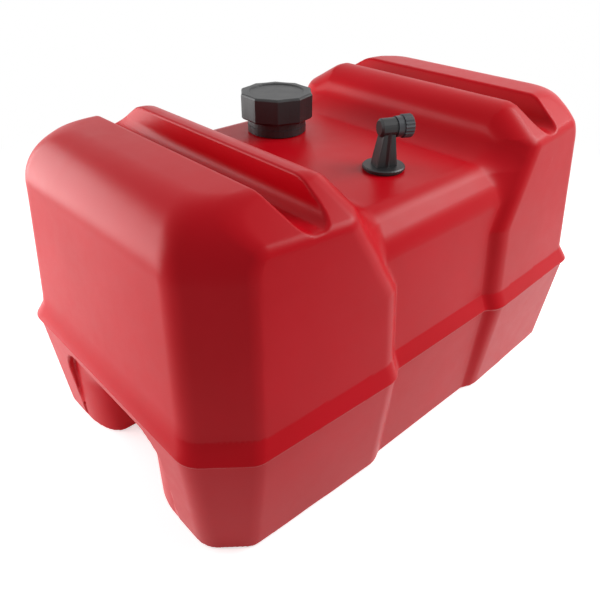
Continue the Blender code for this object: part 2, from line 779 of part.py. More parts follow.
def post_ring(height, along, across, shift):
    """A section of the post, turned with the barrel: a soft rectangle with a rib on two faces."""
    low, high = shift - along, shift + along
    outline = [
        (high, across),
        (shift + POST_RIB_HALF, across),
        (shift, across + POST_RIB),
        (shift - POST_RIB_HALF, across),
        (low, across),
        (low, -across),
        (shift - POST_RIB_HALF, -across),
        (shift, -across - POST_RIB),
        (shift + POST_RIB_HALF, -across),
        (high, -across),
    ]
    softs = [POST_SOFT, 0.0, 0.0, 0.0, POST_SOFT, POST_SOFT, 0.0, 0.0, 0.0, POST_SOFT]
    turn = Matrix.Rotation(OUTLET_TURN, 2)
    return [(*(turn @ Vector(point)), height) for point in soften(outline, softs)]


def make_pickup():
    base = [
        (0.0, BASE_TOP),
        (BASE_RADIUS - BASE_SOFT, BASE_TOP),
        (BASE_RADIUS, BASE_TOP - BASE_SOFT),
        (BASE_RADIUS, BASE_LOW),
        (SPIGOT_RADIUS, BASE_LOW),
        (SPIGOT_RADIUS, SPIGOT_LOW),
        (0.0, SPIGOT_LOW),
    ]
    pickup = turned("pickup_body", base, FINE, seat=PICKUP_SEAT)
    foot = post_ring(BASE_TOP - BASE_THICK / 2, POST_FOOT, POST_FOOT_ACROSS, 0.0)
    head = post_ring(HEAD_HEIGHT, POST_HEAD, POST_HEAD_ACROSS, POST_SHIFT)
    join(pickup, loft("pickup_post", [foot, head], seat=PICKUP_SEAT))
    barrel = [
        (0.0, HEAD_FRONT),
        (HEAD_RADIUS, HEAD_FRONT),
        (HEAD_RADIUS, HEAD_SOFT - HEAD_BACK),
        (HEAD_RADIUS - HEAD_SOFT, -HEAD_BACK),
        (0.0, -HEAD_BACK),
    ]
    join(pickup, turned("pickup_barrel", barrel, seat=BARREL, way=OUTLET_WAY))
    tip = HEAD_FRONT + OUTLET_LENGTH
    join(pickup, rod("pickup_outlet", OUTLET_RADIUS, 0.0, tip, seat=BARREL, way=OUTLET_WAY))
    passage = [
        (0.0, HEAD_HEIGHT),
        (PASSAGE_RADIUS, HEAD_HEIGHT),
        (PASSAGE_RADIUS, VALVE_TOP),
        (VALVE_BORE, VALVE_TOP),
        (VALVE_BORE, SEAT_TOP),
        (PASSAGE_RADIUS, SEAT_TOP),
        (PASSAGE_RADIUS, TUBE_TOP),
        (TUBE_RADIUS + GAP, TUBE_TOP),
        (TUBE_RADIUS + GAP, SPIGOT_LOW - OVERRUN),
        (0.0, SPIGOT_LOW - OVERRUN),
    ]
    passages = turned("pickup_passage", passage, seat=PICKUP_SEAT)
    way_out = rod("outlet_bore", OUTLET_BORE, -PASSAGE_RADIUS, tip + OVERRUN, seat=BARREL, way=OUTLET_WAY)
    join(passages, way_out)
    cut(pickup, passages)
    paint(shade(pickup), BLACK)
    gasket = [
        (BASE_GASKET_RADIUS, BASE_GASKET_THICK + GAP),
        (BASE_GASKET_RADIUS, GAP),
        (PORT_BORE, GAP),
        (PORT_BORE, BASE_GASKET_THICK + GAP),
    ]
    paint(shade(turned("pickup_gasket", gasket, FINE, seat=PICKUP_SEAT)), RUBBER, 0.7)


def make_valve():
    rest = math.sqrt(BALL_RADIUS ** 2 - PASSAGE_RADIUS ** 2)
    middle = SEAT_TOP + rest + GAP
    mesh = bpy.data.meshes.new("check_ball")
    work = bmesh.new()
    bmesh.ops.create_uvsphere(work, u_segments=ROUND, v_segments=ROUND // 2, radius=BALL_RADIUS)
    work.to_mesh(mesh)
    work.free()
    ball = new_object("check_ball", mesh, seat=(0.0, PICKUP_Y, DECK + middle))
    paint(shade(ball), STEEL, 0.25, 1.0)
    inside = BALL_SPRING_RADIUS - BALL_SPRING_WIRE
    low = middle + math.sqrt(BALL_RADIUS ** 2 - inside ** 2) + GAP
    spring = coil(
        "check_spring",
        BALL_SPRING_RADIUS,
        BALL_SPRING_WIRE,
        low,
        VALVE_TOP - GAP,
        BALL_SPRING_TURNS,
        seat=PICKUP_SEAT,
    )
    paint(spring, STEEL, 0.3, 1.0)


def make_dip_tube():
    low = STRAINER_TOP - STRAINER_GRIP + GAP
    high = DECK + TUBE_TOP - GAP
    profile = [(TUBE_RADIUS, high), (TUBE_RADIUS, low), (TUBE_BORE, low), (TUBE_BORE, high)]
    tube = turned("dip_tube", profile, seat=(0.0, PICKUP_Y, 0.0))
    return paint(shade(tube), NATURAL, 0.5)


def make_strainer():
    seat = (0.0, PICKUP_Y, 0.0)
    collar = STRAINER_TOP - STRAINER_GRIP
    strainer = rod("pickup_strainer", STRAINER_RADIUS, STRAINER_LOW, STRAINER_TOP, seat=seat)
    room = STRAINER_RADIUS - STRAINER_WALL
    inside = [
        (0.0, STRAINER_TOP + OVERRUN),
        (TUBE_RADIUS + GAP, STRAINER_TOP + OVERRUN),
        (TUBE_RADIUS + GAP, collar),
        (TUBE_BORE, collar),
        (TUBE_BORE, collar - STRAINER_WALL),
        (room, collar - STRAINER_WALL),
        (room, STRAINER_LOW + STRAINER_WALL),
        (0.0, STRAINER_LOW + STRAINER_WALL),
    ]
    cut(strainer, turned("strainer_room", inside, seat=seat))
    reach = STRAINER_RADIUS + OVERRUN
    low = STRAINER_LOW + STRAINER_WALL * 2
    high = collar - STRAINER_WALL * 2
    for i in range(STRAINER_SLOTS // 2):
        half = STRAINER_SLOT / 2
        turn = Matrix.Rotation(math.tau * (i + 1) / STRAINER_SLOTS, 2)
        corners = [(-reach, -half), (reach, -half), (reach, half), (-reach, half)]
        outline = [tuple(turn @ Vector(corner)) for corner in corners]
        cut(strainer, plate(f"strainer_slot_{i}", [outline], low, high, seat=seat))
    return paint(shade(strainer), NATURAL, 0.5)


def make_outlet_cap():
    """A knurled dust cap that pushes over the outlet."""
    low = HEAD_FRONT + GAP
    high = low + OUTLET_CAP_LENGTH
    place = {"seat": BARREL, "way": OUTLET_WAY}
    ribs = []
    for i in range(KNURL_RIBS * 2):
        radius = OUTLET_CAP_RADIUS if i % 2 else OUTLET_CAP_RADIUS - KNURL_DEPTH
        angle = math.tau * i / (KNURL_RIBS * 2)
        ribs.append((radius * math.cos(angle), radius * math.sin(angle)))
    levels = [(high - KNURL_LENGTH, 0.0), (high - OUTLET_CAP_SOFT, 0.0), (high, OUTLET_CAP_SOFT)]
    rings = [[(x, y, level) for x, y in inset(ribs, soft)] for level, soft in levels]
    cap = loft("outlet_cap", rings, **place)
    collar = OUTLET_CAP_RADIUS - KNURL_DEPTH * 2
    join(cap, rod("outlet_cap_collar", collar, low, high - KNURL_LENGTH / 2, FINE, **place))
    bore = OUTLET_RADIUS + OUTLET_CAP_CLEAR
    cut(cap, rod("outlet_cap_bore", bore, low - OVERRUN, high - OUTLET_CAP_END, **place))
    paint(shade(cap), GREY, 0.4)
    seal_top = high - OUTLET_CAP_END - GAP
    seal = rod("outlet_seal", OUTLET_RADIUS, seal_top - OUTLET_SEAL_THICK, seal_top, **place)
    paint(shade(seal), RUBBER, 0.7)


make_tank()
make_cap_body()
make_grip()
make_pawl_ring()
make_cap_gasket()
make_vent()
make_pickup()
make_valve()
make_dip_tube()
make_strainer()
make_outlet_cap()
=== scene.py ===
"""Looks of the portable outboard fuel tank: a fine tank, materials, floor, lamps and camera."""

import json
import math

import bpy
import numpy as np
from mathutils import Matrix, Vector


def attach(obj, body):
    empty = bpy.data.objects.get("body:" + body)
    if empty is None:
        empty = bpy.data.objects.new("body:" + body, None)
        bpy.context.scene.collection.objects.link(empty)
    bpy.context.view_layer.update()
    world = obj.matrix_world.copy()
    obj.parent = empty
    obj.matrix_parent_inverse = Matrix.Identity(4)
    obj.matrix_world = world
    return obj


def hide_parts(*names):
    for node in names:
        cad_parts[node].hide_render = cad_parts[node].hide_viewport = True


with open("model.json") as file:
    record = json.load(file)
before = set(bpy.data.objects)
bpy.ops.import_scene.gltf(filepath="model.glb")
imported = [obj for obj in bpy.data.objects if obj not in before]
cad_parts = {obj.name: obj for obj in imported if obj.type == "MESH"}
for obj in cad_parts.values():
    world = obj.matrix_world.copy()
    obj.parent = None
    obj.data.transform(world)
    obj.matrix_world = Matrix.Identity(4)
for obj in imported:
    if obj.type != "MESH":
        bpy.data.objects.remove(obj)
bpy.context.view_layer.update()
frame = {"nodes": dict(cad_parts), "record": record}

# Sizes shared with the solids, in metres
LENGTH = 0.584
WIDTH = 0.375
TOP = 0.319
PARTING = 0.1205
CORNER_RUN = 0.0455
CORNER_DEPTH = 0.038
SIDE_TAPER = 0.0068
END_SLOPE = 0.070
SIDE_SLOPE = 0.085
LOW_END_SLOPE = 0.085
LOW_SIDE_SLOPE = 0.100
WAIST_LOW_SLOPE = 0.070
LIP = 0.0025
LIP_THICK = 0.0010
FLARE_RISE = 0.0175
FLARE_REACH = 0.0078
COVE_TOP = 0.152
COVE_SLOPE = 0.60
FOOT_BULGE = 0.0070
WAIST_HALF = 0.0856
WAIST_STEP = 0.0102
WAIST_STEP_RUN = 0.0156
WAIST_BEND = 0.209
WAIST_SHOULDER = 0.286
WAIST_SHOULDER_HALF = 0.1294
RIDGE_INNER = 0.1216
DECK = 0.2724
DECK_HALF = 0.1362
DECK_DROP = 0.0253
SLOPE_TOP_HALF = 0.1206
SLOPE_DROP = 0.0292
RIDGE_OUTER = 0.1508
GROOVE_FLOOR = 0.2919
GROOVE_FLOOR_INNER = 0.1537
GROOVE_FLOOR_OUTER = 0.1795
GROOVE_OUTER = 0.1926
ROLL_RADIUS = 0.0486
HOLD_HALF = 0.0924
HOLD_TOP = 0.1060
HOLD_DEPTH = 0.0856
HOLD_ARCH = 0.0370
HOLD_SLOT_ARCH = 0.0300
HOLD_FLARE = 0.0500
HOLD_FLARE_TOP = 0.0290
HOLD_FLARE_DEPTH = 0.0220
HOLD_BACK_SOFT = 0.012
HOLD_EDGE_SOFT = 0.0015
CAP_Y = 0.0817
NECK_BORE = 0.0224
PICKUP_Y = -0.0778
PORT_BORE = 0.0100

# Rounding of the moulded tank's edges
CORNER_REACH = 0.0105
SHOULDER_SOFT = 0.0040
BAND_SOFT = 0.0050
STEP_SOFT = 0.007
RIDGE_SOFT = 0.021
RIDGE_EDGE_SOFT = 0.0022
GROOVE_RIDGE_SOFT = 0.012
GROOVE_SLOPE_SOFT = 0.008
DECK_SOFT = 0.008
FOOT_SOFT = 0.023
STEP_FOOT_SOFT = 0.0045
FLOOR_SOFT = 0.002
END_ROLL_EASE = 0.005
GROOVE_FLOOR_SOFT = 0.001

# How the moulding's parts run into each other
PROFILE_LOW = -0.05
PROFILE_HIGH = 0.40
STEP_RUNS = 1.3
TAPER_MOST = 1.2
LEAST_TAPER_RUN = 0.01
GROOVE_LIP_DROP = 0.003
GROOVE_FILLET_SPAN = (0.160, 0.172)
WAIST_END = 0.150
FOOT_FADE_START = 0.235
FOOT_FADE_RUN = 0.03
BORE_ROOM = 0.0025
BORE_FLOOR = 0.150

HALF_LENGTH = LENGTH / 2
HALF_WIDTH = WIDTH / 2
PARTING_LOW = PARTING - LIP
FLARE_TOP = PARTING + FLARE_RISE
ROLL_START = TOP - ROLL_RADIUS
SHOULDER = TOP - SLOPE_DROP


def round_both(a, b, radius):
    """Where two fields are both below zero, with the edge between them rounded."""
    rounding = np.hypot(np.maximum(a + radius, 0), np.maximum(b + radius, 0))
    return np.minimum(-radius, np.maximum(a, b)) + rounding


def round_either(a, b, radius):
    """Where either field is below zero, with the inner corner between them filled."""
    filling = np.hypot(np.maximum(radius - a, 0), np.maximum(radius - b, 0))
    return np.maximum(radius, np.minimum(a, b)) - filling


def ease_both(a, b, reach):
    """Where two fields are both below zero, with the same rounding at every depth."""
    near = np.maximum(1.0 - np.abs(a - b) / reach, 0.0)
    return np.maximum(a, b) + reach / 4 * near ** 2


def end_inset(z):
    """The end wall's inset, which has a soft cove above the parting flange."""
    start = PARTING + LIP_THICK
    run = COVE_TOP - start
    share = np.clip((z - start) / run, 0.0, 1.0)
    top = FLARE_REACH + (COVE_TOP - FLARE_TOP) * END_SLOPE
    cove = (
        (share ** 3 - 2 * share ** 2 + share) * run * COVE_SLOPE
        + (3 * share ** 2 - 2 * share ** 3) * top
        + (share ** 3 - share ** 2) * run * END_SLOPE
    )
    above = cove + np.maximum(z - COVE_TOP, 0.0) * END_SLOPE
    return np.where(z < start, wall_inset(z, LOW_END_SLOPE, END_SLOPE), above)


def wall_inset(z, low_slope, high_slope):
    """A wall's inset from the parting flange's edge, with its own slope below and above the flange."""
    heights = [PROFILE_LOW, PARTING_LOW, PARTING, PARTING + LIP_THICK, FLARE_TOP, PROFILE_HIGH]
    insets = [
        LIP + (PARTING_LOW - PROFILE_LOW) * low_slope,
        LIP,
        0.0,
        0.0,
        FLARE_REACH,
        FLARE_REACH + (PROFILE_HIGH - FLARE_TOP) * high_slope,
    ]
    return np.interp(z, heights, insets)


def plane_through(a, b, first, second):
    """Distance in a plane from the line through two points, above zero on its left."""
    run = (second[0] - first[0], second[1] - first[1])
    size = np.hypot(run[0], run[1])
    return (run[0] * (b - first[1]) - run[1] * (a - first[0])) / size


def tank_field(x, y, z):
    """Below zero inside the moulded tank, and close to a distance near its surface."""
    x = np.abs(x)
    y = np.abs(y)

    # the end wall and the corner, rolled over together into the top
    eased = ROLL_START - END_ROLL_EASE * np.logaddexp(0.0, (ROLL_START - z) / END_ROLL_EASE)
    end_x = HALF_LENGTH - wall_inset(eased, LOW_END_SLOPE, END_SLOPE)
    end = x - HALF_LENGTH + end_inset(eased)
    side_y = HALF_WIDTH - wall_inset(z, LOW_SIDE_SLOPE, SIDE_SLOPE)
    corner_size = math.hypot(CORNER_RUN, CORNER_DEPTH)
    corner_y = side_y - SIDE_TAPER - CORNER_DEPTH
    corner = ((x - end_x) * CORNER_DEPTH + (y - corner_y) * CORNER_RUN) / corner_size
    corner = corner - FOOT_BULGE * np.clip(1.0 - z / PARTING_LOW, 0.0, 1.0)
    ends = ease_both(end, corner, CORNER_REACH)
    ends = round_both(ends, z - TOP, ROLL_RADIUS)

    # the side wall and the sloping band above it
    spread = np.interp(
        z,
        [WAIST_BEND, WAIST_SHOULDER, TOP],
        [WAIST_HALF, WAIST_SHOULDER_HALF, RIDGE_INNER + WAIST_STEP_RUN * STEP_RUNS],
    )
    taper_run = np.maximum(end_x - CORNER_RUN - spread, LEAST_TAPER_RUN)
    taper = SIDE_TAPER * np.clip((x - spread) / taper_run, 0.0, TAPER_MOST)
    side = y - side_y + taper
    shoulder_y = HALF_WIDTH - wall_inset(SHOULDER, LOW_SIDE_SLOPE, SIDE_SLOPE)
    band = plane_through(y, z, (shoulder_y, SHOULDER), (SLOPE_TOP_HALF, TOP)) * -1.0
    sides = round_both(side, band, BAND_SOFT)
    block = round_both(ends, sides, SHOULDER_SOFT)

    # the block's step back to the waist, and the ridge's wall over the deck
    step_size = math.hypot(WAIST_STEP_RUN, WAIST_STEP)
    step = ((spread - x) * WAIST_STEP + (y - side_y) * WAIST_STEP_RUN) / step_size
    inner_x = spread - WAIST_STEP_RUN * STEP_RUNS
    lean = (WAIST_SHOULDER_HALF - WAIST_HALF) / (WAIST_SHOULDER - WAIST_BEND)
    ridge_wall = (inner_x - x) / math.hypot(1.0, lean)
    block = round_both(block, step, STEP_SOFT)
    block = round_both(block, ridge_wall, RIDGE_SOFT)

    # the strap groove across the block
    near = plane_through(x, z, (GROOVE_FLOOR_INNER, GROOVE_FLOOR), (RIDGE_OUTER, TOP - GROOVE_LIP_DROP))
    far = plane_through(x, z, (GROOVE_OUTER, TOP), (GROOVE_FLOOR_OUTER, GROOVE_FLOOR))
    groove = round_both(near, far, GROOVE_FLOOR_SOFT)
    fillet = np.interp(x, GROOVE_FILLET_SPAN, [GROOVE_RIDGE_SOFT, GROOVE_SLOPE_SOFT])
    groove = round_both(groove, GROOVE_FLOOR - z, fillet)
    block = round_both(block, -groove, RIDGE_EDGE_SOFT)

    # the waist: deck, sloping bands and sides
    waist_side = HALF_WIDTH - WAIST_STEP - wall_inset(z, WAIST_LOW_SLOPE, SIDE_SLOPE)
    waist_band_y = HALF_WIDTH - WAIST_STEP - wall_inset(DECK - DECK_DROP, WAIST_LOW_SLOPE, SIDE_SLOPE)
    waist_band = plane_through(y, z, (waist_band_y, DECK - DECK_DROP), (DECK_HALF, DECK)) * -1.0
    waist = round_both(y - waist_side, waist_band, DECK_SOFT)
    waist = round_both(waist, z - DECK, DECK_SOFT)
    waist = np.maximum(waist, x - WAIST_END)
    share = np.clip((z - FOOT_FADE_START) / FOOT_FADE_RUN, 0.0, 1.0)
    fill = STEP_FOOT_SOFT + (FOOT_SOFT - STEP_FOOT_SOFT) * share
    tank = round_either(block, waist, fill)

    # the hand holds: a slot whose mouth flares out to an arch in the end wall
    slot_half = HOLD_HALF - HOLD_FLARE
    slot_top = HOLD_TOP - HOLD_FLARE_TOP
    slot = round_both(y - slot_half, (z - slot_top) * (HOLD_FLARE / HOLD_FLARE_TOP), HOLD_SLOT_ARCH)
    start = HALF_LENGTH - LIP - PARTING_LOW * LOW_END_SLOPE
    slot = round_both(slot, start - HOLD_DEPTH - x, HOLD_BACK_SOFT)
    flare = round_both((x - start) / HOLD_FLARE_DEPTH, -slot / HOLD_FLARE, 1.0) * HOLD_FLARE_DEPTH
    arch = round_both(y - HOLD_HALF, z - HOLD_TOP, HOLD_ARCH)
    tank = round_both(tank, -np.maximum(-flare, arch), HOLD_EDGE_SOFT)

    # the rim of the underside
    tank = round_both(tank, -z, FLOOR_SOFT)
    return tank


def tank_holes(x, y, z):
    """The tank with a blind hole under the filler cap and one under the pickup."""
    form = tank_field(x, y, z)
    filler = np.hypot(x, y - CAP_Y) - NECK_BORE - BORE_ROOM
    port = np.hypot(x, y - PICKUP_Y) - PORT_BORE
    deep = BORE_FLOOR - z
    form = np.maximum(form, -np.maximum(filler, deep))
    form = np.maximum(form, -np.maximum(port, deep))
    return form


def axis_steps(parts):
    """Grid lines through consecutive stretches, each with its own step."""
    lines = [parts[0][0]]
    for low, high, step in parts:
        count = max(1, round((high - low) / step))
        lines += [low + (high - low) * (i + 1) / count for i in range(count)]
    return np.array(lines)


def both_ways(parts):
    """Grid lines on both sides of zero, with none on zero itself."""
    half = axis_steps(parts)
    return np.concatenate([-half[::-1], half])


def surface_net(field, xs, ys, zs):
    """Points and quads of the surface where a field crosses zero."""
    gx, gy, gz = np.meshgrid(xs, ys, zs, indexing="ij")
    values = field(gx, gy, gz)
    del gx, gy, gz
    inside = values < 0
    lines = (xs, ys, zs)
    cells = tuple(n - 1 for n in values.shape)
    total = np.zeros(cells + (3,))
    count = np.zeros(cells)
    crossings = []
    for axis in range(3):
        low = [slice(None)] * 3
        high = [slice(None)] * 3
        low[axis] = slice(0, -1)
        high[axis] = slice(1, None)
        a = values[tuple(low)]
        b = values[tuple(high)]
        mask = inside[tuple(low)] != inside[tuple(high)]
        crossings.append((mask, inside[tuple(low)]))
        index = np.nonzero(mask)
        share = a[index] / (a[index] - b[index])
        spot = np.empty((len(index[0]), 3))
        for k in range(3):
            spot[:, k] = lines[k][index[k]]
        spot[:, axis] += share * (lines[axis][index[axis] + 1] - lines[axis][index[axis]])
        others = [k for k in range(3) if k != axis]
        for back_a in (0, 1):
            for back_b in (0, 1):
                cell = [index[0].copy(), index[1].copy(), index[2].copy()]
                cell[others[0]] -= back_a
                cell[others[1]] -= back_b
                good = np.ones(len(index[0]), bool)
                for k in range(3):
                    good &= (cell[k] >= 0) & (cell[k] < cells[k])
                where = tuple(c[good] for c in cell)
                np.add.at(total, where, spot[good])
                np.add.at(count, where, 1)
    used = count > 0
    names = np.full(cells, -1)
    names[used] = np.arange(used.sum())
    points = total[used] / count[used][:, None]
    quads = []
    for axis, (mask, low_inside) in enumerate(crossings):
        index = np.nonzero(mask)
        first, second = [k for k in range(3) if k != axis]
        good = np.ones(len(index[0]), bool)
        for k in (first, second):
            good &= (index[k] > 0) & (index[k] < cells[k])
        index = tuple(i[good] for i in index)
        corners = []
        for back_a, back_b in ((1, 1), (0, 1), (0, 0), (1, 0)):
            cell = list(index)
            cell[first] = index[first] - back_a
            cell[second] = index[second] - back_b
            corners.append(names[tuple(cell)])
        quad = np.stack(corners, axis=1)
        forward = low_inside[index]
        if axis == 1:
            forward = ~forward
        quad[~forward] = quad[~forward][:, ::-1]
        quads.append(quad)
    return points, np.concatenate(quads)


def slope_of(field, points, reach=0.0002):
    """The field's value and its gradient at points."""
    x, y, z = points.T
    value = field(x, y, z)
    slope = np.stack([
        field(x + reach, y, z) - field(x - reach, y, z),
        field(x, y + reach, z) - field(x, y - reach, z),
        field(x, y, z + reach) - field(x, y, z - reach),
    ], axis=1) / (2 * reach)
    return value, slope


def settle_on(field, points, rounds=4, limit=0.0015):
    """Moves points on to the surface along the field's slope, at most the limit in a round."""
    for _ in range(rounds):
        value, slope = slope_of(field, points)
        move = slope * (value / np.maximum((slope ** 2).sum(1), 0.1))[:, None]
        size = np.linalg.norm(move, axis=1)
        move *= np.minimum(1.0, limit / np.maximum(size, 1e-9))[:, None]
        points = points - move
    return points


def even_out(field, points, quads, rounds=3):
    """Slides points along the surface towards the middle of their neighbours."""
    pairs = np.concatenate([quads[:, [0, 1]], quads[:, [1, 2]], quads[:, [2, 3]], quads[:, [3, 0]]])
    for _ in range(rounds):
        total = np.zeros_like(points)
        count = np.zeros(len(points))
        for a, b in ((0, 1), (1, 0)):
            np.add.at(total, pairs[:, a], points[pairs[:, b]])
            np.add.at(count, pairs[:, a], 1)
        pull = total / np.maximum(count, 1)[:, None] - points
        slope = slope_of(field, points)[1]
        normal = slope / np.maximum(np.linalg.norm(slope, axis=1), 1e-9)[:, None]
        pull -= normal * (pull * normal).sum(1)[:, None]
        points = settle_on(field, points + pull * 0.5, rounds=2, limit=0.0008)
    return points


def new_piece(name, mesh, body, replaced):
    """Links a finished mesh as a piece that rides on a body."""
    piece = bpy.data.objects.new(name, mesh)
    bpy.context.scene.collection.objects.link(piece)
    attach(piece, body)
    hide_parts(*replaced)


def make_tank(material):
    """The whole moulding as one fine mesh, from a grid that is finest where the form bends."""
    xs = both_ways([
        (0.0022, 0.062, 0.0046), (0.062, 0.144, 0.0026), (0.144, 0.158, 0.0014), (0.158, 0.176, 0.0030),
        (0.176, 0.197, 0.0018), (0.197, 0.264, 0.0038), (0.264, 0.2950, 0.0024),
    ])
    ys = both_ways([(0.0022, 0.108, 0.0044), (0.108, 0.176, 0.0030), (0.176, 0.1905, 0.0024)])
    zs = axis_steps([
        (-0.0025, 0.009, 0.0019), (0.009, 0.112, 0.0043), (0.112, 0.1168, 0.0016), (0.1168, 0.1232, 0.0008),
        (0.1232, 0.142, 0.0025), (0.142, 0.234, 0.0040), (0.234, 0.286, 0.0026), (0.286, 0.3215, 0.0021),
    ])
    points, quads = surface_net(tank_holes, xs, ys, zs)
    points = settle_on(tank_holes, points)
    points = even_out(tank_holes, points, quads)
    slope = slope_of(tank_holes, points, reach=0.0003)[1]
    normals = slope / np.maximum(np.linalg.norm(slope, axis=1), 1e-9)[:, None]
    mesh = bpy.data.meshes.new("tank_moulding")
    mesh.from_pydata(points.tolist(), [], quads.tolist())
    mesh.validate()
    mesh.update()
    mesh.shade_smooth()
    mesh.normals_split_custom_set_from_vertices(normals.tolist())
    mesh.materials.append(material)
    new_piece("tank_moulding", mesh, "tank", ["tank_body"])


# The stretch of its range that a noise texture mostly stays in
NOISE_LOW = 0.3
NOISE_HIGH = 0.7


class Nodes:
    """A material's node tree, with short calls that add nodes to it."""

    def __init__(self, name):
        self.material = bpy.data.materials.new(name)
        self.material.use_nodes = True
        self.tree = self.material.node_tree
        self.shader = self.tree.nodes["Principled BSDF"]
        self.place = None

    def add(self, kind, **values):
        node = self.tree.nodes.new(kind)
        for key, value in values.items():
            setattr(node, key, value)
        return node

    def link(self, out, into):
        self.tree.links.new(out, into)

    def noise(self, scale, detail=3.0, rough=0.5, source=None):
        node = self.add("ShaderNodeTexNoise")
        node.inputs["Scale"].default_value = scale
        node.inputs["Detail"].default_value = detail
        node.inputs["Roughness"].default_value = rough
        if source is None:
            source = self.position()
        self.link(source, node.inputs["Vector"])
        return node.outputs["Fac"]

    def position(self):
        if self.place is None:
            self.place = self.add("ShaderNodeTexCoord").outputs["Object"]
        return self.place

    def ramp(self, value, stops):
        node = self.add("ShaderNodeValToRGB")
        node.color_ramp.elements[0].position = stops[0][0]
        node.color_ramp.elements[0].color = stops[0][1]
        node.color_ramp.elements[1].position = stops[-1][0]
        node.color_ramp.elements[1].color = stops[-1][1]
        for spot, colour in stops[1:-1]:
            node.color_ramp.elements.new(spot).color = colour
        self.link(value, node.inputs["Fac"])
        return node.outputs["Color"]

    def spread(self, value, low, high):
        node = self.add("ShaderNodeMapRange")
        node.inputs["From Min"].default_value = NOISE_LOW
        node.inputs["From Max"].default_value = NOISE_HIGH
        node.inputs["To Min"].default_value = low
        node.inputs["To Max"].default_value = high
        self.link(value, node.inputs["Value"])
        return node.outputs["Result"]

    def bump(self, height, strength, distance, below=None):
        node = self.add("ShaderNodeBump")
        node.inputs["Strength"].default_value = strength
        node.inputs["Distance"].default_value = distance
        self.link(height, node.inputs["Height"])
        if below is not None:
            self.link(below, node.inputs["Normal"])
        return node.outputs["Normal"]


def moulded_plastic(name, dark, light, rough, grain=900.0, grain_depth=0.00004, specular=0.5, wave=0.0003):
    """Moulded plastic: slight colour drift, patchy gloss, a fine skin and a soft unevenness."""
    nodes = Nodes(name)
    shader = nodes.shader
    tint = nodes.ramp(nodes.noise(9.0, 4.0), [(NOISE_LOW, dark), (NOISE_HIGH, light)])
    nodes.link(tint, shader.inputs["Base Color"])
    gloss = nodes.spread(nodes.noise(55.0, 5.0, 0.6), rough - 0.02, rough + 0.03)
    nodes.link(gloss, shader.inputs["Roughness"])
    soft = nodes.bump(nodes.noise(14.0, 1.0), 0.5, wave)
    fine = nodes.bump(nodes.noise(grain, 2.0, 0.6), 0.5, grain_depth, soft)
    nodes.link(fine, shader.inputs["Normal"])
    shader.inputs["Specular IOR Level"].default_value = specular
    return nodes.material


RED = moulded_plastic(
    "red_moulded", (0.58, 0.0006, 0.007, 1), (0.64, 0.0012, 0.011, 1), 0.34, specular=0.16, wave=0.00012
)
BLACK = moulded_plastic("black_moulded", (0.010, 0.010, 0.011, 1), (0.016, 0.016, 0.017, 1), 0.42)
GREY = moulded_plastic("grey_moulded", (0.040, 0.044, 0.052, 1), (0.055, 0.060, 0.070, 1), 0.36)
RUBBER = moulded_plastic("black_rubber", (0.008, 0.008, 0.008, 1), (0.014, 0.014, 0.014, 1), 0.70, 1500.0)
NATURAL = moulded_plastic("natural_moulded", (0.60, 0.58, 0.52, 1), (0.68, 0.66, 0.60, 1), 0.45)


def spring_steel():
    """Bright spring wire with a fine grain."""
    nodes = Nodes("spring_steel")
    shader = nodes.shader
    dark = (0.50, 0.51, 0.53, 1)
    light = (0.62, 0.63, 0.65, 1)
    tint = nodes.ramp(nodes.noise(300.0, 3.0), [(NOISE_LOW, dark), (NOISE_HIGH, light)])
    nodes.link(tint, shader.inputs["Base Color"])
    nodes.link(nodes.spread(nodes.noise(700.0), 0.22, 0.34), shader.inputs["Roughness"])
    nodes.link(nodes.bump(nodes.noise(2500.0), 0.3, 0.00002), shader.inputs["Normal"])
    shader.inputs["Metallic"].default_value = 1.0
    return nodes.material


STEEL = spring_steel()
FINISH = {
    "red_plastic": RED,
    "black_plastic": BLACK,
    "grey_plastic": GREY,
    "black_rubber": RUBBER,
    "natural_plastic": NATURAL,
    "steel": STEEL,
}

# Each node gets its slot's finish on the object, so that the imported mesh stays as it is
for part in frame["record"]["subparts"]:
    node = frame["nodes"][part["node"]]
    for place in range(max(1, len(node.material_slots))):
        if not node.material_slots:
            node.data.materials.append(None)
        node.material_slots[place].link = "OBJECT"
        node.material_slots[place].material = FINISH[part["material_slot"]]

make_tank(RED)

FLOOR_HALF = 6
FLOOR_DROP = 0.0004
FLOOR_LIFT = 0.62
FLOOR_FADE = (0.45, 1.05)
WORLD_FILL = 0.24
CAMERA_PLACE = (-0.44297, -0.43683, 0.49231)
CAMERA_AZIMUTH = math.radians(-42.872)
CAMERA_ELEVATION = math.radians(33.62)
CAMERA_ROLL = math.radians(0.532)
SENSOR_WIDTH = 36.0
FOCAL_PIXELS = 603.646
PICTURE_PIXELS = 600.0


def aim(thing, place, target):
    """Puts a thing in its place and turns it to face a target."""
    thing.location = place
    thing.rotation_euler = (Vector(target) - Vector(place)).to_track_quat("-Z", "Y").to_euler()


def soft_box(name, place, target, size, power):
    """A rectangular lamp that faces a target."""
    lamp = bpy.data.lights.new(name, "AREA")
    lamp.shape = "RECTANGLE"
    lamp.size, lamp.size_y = size
    lamp.energy = power
    lamp.spread = math.pi
    holder = bpy.data.objects.new(name, lamp)
    bpy.context.scene.collection.objects.link(holder)
    aim(holder, place, target)


def seen_rays(tree):
    """One for rays from the camera, and for those seen in or through a surface."""
    path = tree.nodes.new("ShaderNodeLightPath")
    total = path.outputs["Is Camera Ray"]
    for kind in ("Is Glossy Ray", "Is Transmission Ray"):
        either = tree.nodes.new("ShaderNodeMath")
        either.operation = "MAXIMUM"
        tree.links.new(total, either.inputs[0])
        tree.links.new(path.outputs[kind], either.inputs[1])
        total = either.outputs[0]
    return total


